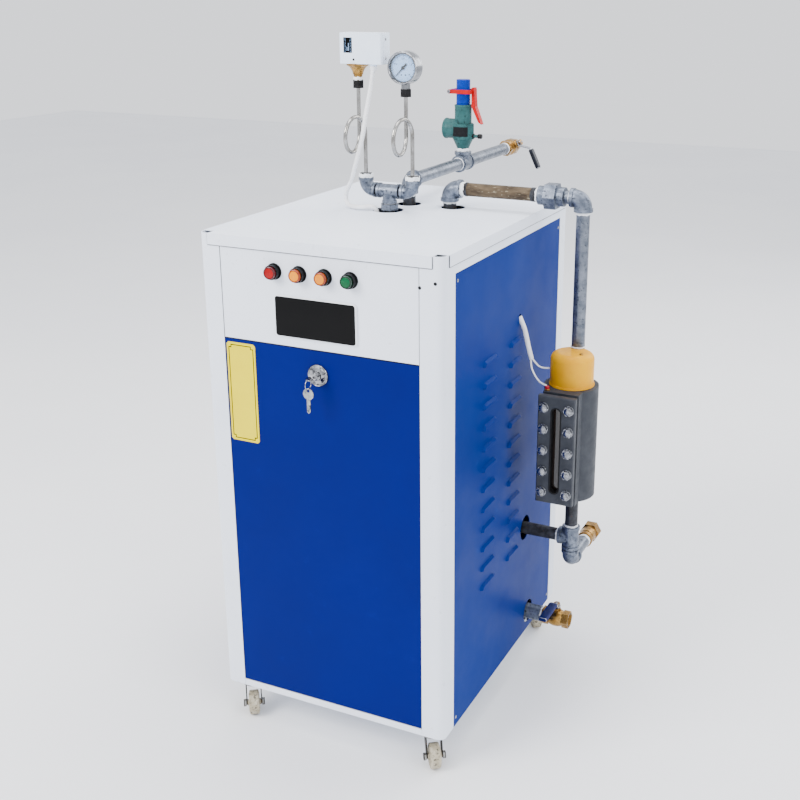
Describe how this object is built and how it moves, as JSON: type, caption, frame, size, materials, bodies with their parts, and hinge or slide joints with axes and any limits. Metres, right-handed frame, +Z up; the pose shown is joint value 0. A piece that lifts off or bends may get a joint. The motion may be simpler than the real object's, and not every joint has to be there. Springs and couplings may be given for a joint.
{
  "type": "electric steam generator",
  "caption": "Cabinet steam generator on casters, with lid pipework, gauge, pressure switch, safety valve, level column, lamps and drain valve.",
  "frame": {"origin": "middle of the cabinet's underside, at the floor pan", "axes": "+X to the right and +Y to the back seen from the front, +Z up"},
  "size_m": [0.6635, 1.0596, 1.377],
  "materials": {
    "white_sheet": "satin white powder coat, chipped",
    "door_blue": "satin deep blue powder coat",
    "side_blue": "satin blue powder coat",
    "boiler_steel": "dull grey heat-resistant paint",
    "dark_steel": "dark mill scale with rust",
    "galvanised_steel": "dull galvanised",
    "rusty_steel": "brown rusty pipe",
    "malleable_iron": "galvanised malleable iron with rust",
    "siphon_steel": "bright steel tube",
    "dark_nut": "blackened nuts",
    "switch_box": "white painted sheet cover",
    "bellows_brass": "dull brass",
    "gauge_black": "black gloss",
    "dial_white": "matt pale dial",
    "safety_green": "green enamel on cast body",
    "cap_blue": "blue enamel",
    "lever_red": "red enamel",
    "grip_blue": "blue vinyl sleeve",
    "column_grey": "grey painted casting",
    "sight_glass": "dark thick glass",
    "bolt_steel": "zinc plated",
    "cap_yellow": "yellow plastic",
    "terminal_red": "red plastic",
    "bezel_black": "black plastic",
    "lens_red": "clear red plastic",
    "lens_amber": "clear amber plastic",
    "lens_green": "clear green plastic",
    "display_white": "pale plastic rim",
    "screen_black": "glossy black screen",
    "label_yellow": "bare yellow printed plate",
    "lock_chrome": "polished",
    "caster_zinc": "zinc plated",
    "fork_dark": "dark painted steel",
    "wheel_white": "dirty pale nylon",
    "cable_white": "white sleeve",
    "wire_white": "thin pale wire"
  },
  "bodies": {
    "cabinet": {"cabinet_frame": "white_sheet", "base_pan": "white_sheet", "top_cover": "white_sheet", "control_panel": "white_sheet", "front_door": "door_blue", "side_panel_right": "side_blue", "side_panel_left": "side_blue", "back_panel": "side_blue", "boiler_vessel": "boiler_steel", "dark_pipes": "dark_steel", "galvanised_pipes": "galvanised_steel", "rusty_pipe": "rusty_steel", "pipe_elbows": "malleable_iron", "pipe_tees": "malleable_iron", "pipe_couplings": "malleable_iron", "siphon_pipes": "siphon_steel", "siphon_fittings": "dark_nut", "pressure_switch": "switch_box", "switch_bellows": "bellows_brass", "column_drain_fitting": "bellows_brass", "steam_valve_body": "bellows_brass", "drain_valve_body": "bellows_brass", "gauge_case": "gauge_black", "gauge_dial": "dial_white", "safety_valve_body": "safety_green", "safety_valve_cap": "cap_blue", "column_body": "column_grey", "column_cover": "column_grey", "column_glass": "sight_glass", "column_bolts": "bolt_steel", "column_cap": "cap_yellow", "level_terminal": "terminal_red", "lamp_bezels": "bezel_black", "lamp_lens_red": "lens_red", "lamp_lenses_amber": "lens_amber", "lamp_lens_green": "lens_green", "display_unit": "display_white", "display_screen": "screen_black", "label_plate": "label_yellow", "door_lock": "lock_chrome", "caster_plates": "caster_zinc", "switch_cable": "cable_white", "level_sleeve": "cable_white", "level_wire_cap": "wire_white", "level_wire_terminal": "wire_white"},
    "steam_lever": {"steam_valve_lever": "grip_blue"},
    "drain_lever": {"drain_valve_lever": "grip_blue"},
    "safety_lever": {"safety_valve_lever": "lever_red"},
    "key": {"door_key": "lock_chrome", "key_ring": "lock_chrome"},
    "spare": {"spare_key": "lock_chrome"},
    "fork_front_right": {"caster_fork_front_right": "fork_dark"},
    "wheel_front_right": {"caster_wheel_front_right": "wheel_white"},
    "fork_front_left": {"caster_fork_front_left": "fork_dark"},
    "wheel_front_left": {"caster_wheel_front_left": "wheel_white"},
    "fork_back_right": {"caster_fork_back_right": "fork_dark"},
    "wheel_back_right": {"caster_wheel_back_right": "wheel_white"},
    "fork_back_left": {"caster_fork_back_left": "fork_dark"},
    "wheel_back_left": {"caster_wheel_back_left": "wheel_white"}
  },
  "joints": [
    {"name": "steam_lever_turn", "type": "hinge", "parent": "cabinet", "child": "steam_lever", "pos_m": [-0.022, 0.661, 1.003], "axis": [0.9063, 0, 0.4226], "range_deg": [0, 90]},
    {"name": "drain_lever_turn", "type": "hinge", "parent": "cabinet", "child": "drain_lever", "pos_m": [0.318, 0.137, 0.042], "axis": [0, 0, 1], "range_deg": [0, 90]},
    {"name": "safety_lever_lift", "type": "hinge", "parent": "cabinet", "child": "safety_lever", "pos_m": [-0.049, 0.375, 1.162], "axis": [0, -1, 0], "range_deg": [0, 12]},
    {"name": "key_turn", "type": "hinge", "parent": "cabinet", "child": "key", "pos_m": [-0.002, -0.34, 0.711], "axis": [0, 1, 0], "range_deg": [0, 90]},
    {"name": "spare_key_swing", "type": "hinge", "parent": "key", "child": "spare", "pos_m": [-0.002, -0.3568, 0.6942], "axis": [0, 1, 0], "range_deg": [-90, 0]},
    {"name": "swivel_front_right", "type": "hinge", "parent": "cabinet", "child": "fork_front_right", "pos_m": [0.21, -0.285, -0.012], "axis": [0, 0, 1], "continuous": true},
    {"name": "roll_front_right", "type": "hinge", "parent": "fork_front_right", "child": "wheel_front_right", "pos_m": [0.22262, -0.30302, -0.052], "axis": [0.8192, 0.5736, 0], "continuous": true},
    {"name": "swivel_front_left", "type": "hinge", "parent": "cabinet", "child": "fork_front_left", "pos_m": [-0.21, -0.285, -0.012], "axis": [0, 0, 1], "continuous": true},
    {"name": "roll_front_left", "type": "hinge", "parent": "fork_front_left", "child": "wheel_front_left", "pos_m": [-0.19738, -0.30302, -0.052], "axis": [0.8192, 0.5736, 0], "continuous": true},
    {"name": "swivel_back_right", "type": "hinge", "parent": "cabinet", "child": "fork_back_right", "pos_m": [0.21, 0.285, -0.012], "axis": [0, 0, 1], "continuous": true},
    {"name": "roll_back_right", "type": "hinge", "parent": "fork_back_right", "child": "wheel_back_right", "pos_m": [0.22262, 0.26698, -0.052], "axis": [0.8192, 0.5736, 0], "continuous": true},
    {"name": "swivel_back_left", "type": "hinge", "parent": "cabinet", "child": "fork_back_left", "pos_m": [-0.21, 0.285, -0.012], "axis": [0, 0, 1], "continuous": true},
    {"name": "roll_back_left", "type": "hinge", "parent": "fork_back_left", "child": "wheel_back_left", "pos_m": [-0.19738, 0.26698, -0.052], "axis": [0.8192, 0.5736, 0], "continuous": true}
  ],
  "couplings": [
    {"joint": "spare_key_swing", "follows": "key_turn", "ratio": -1}
  ]
}
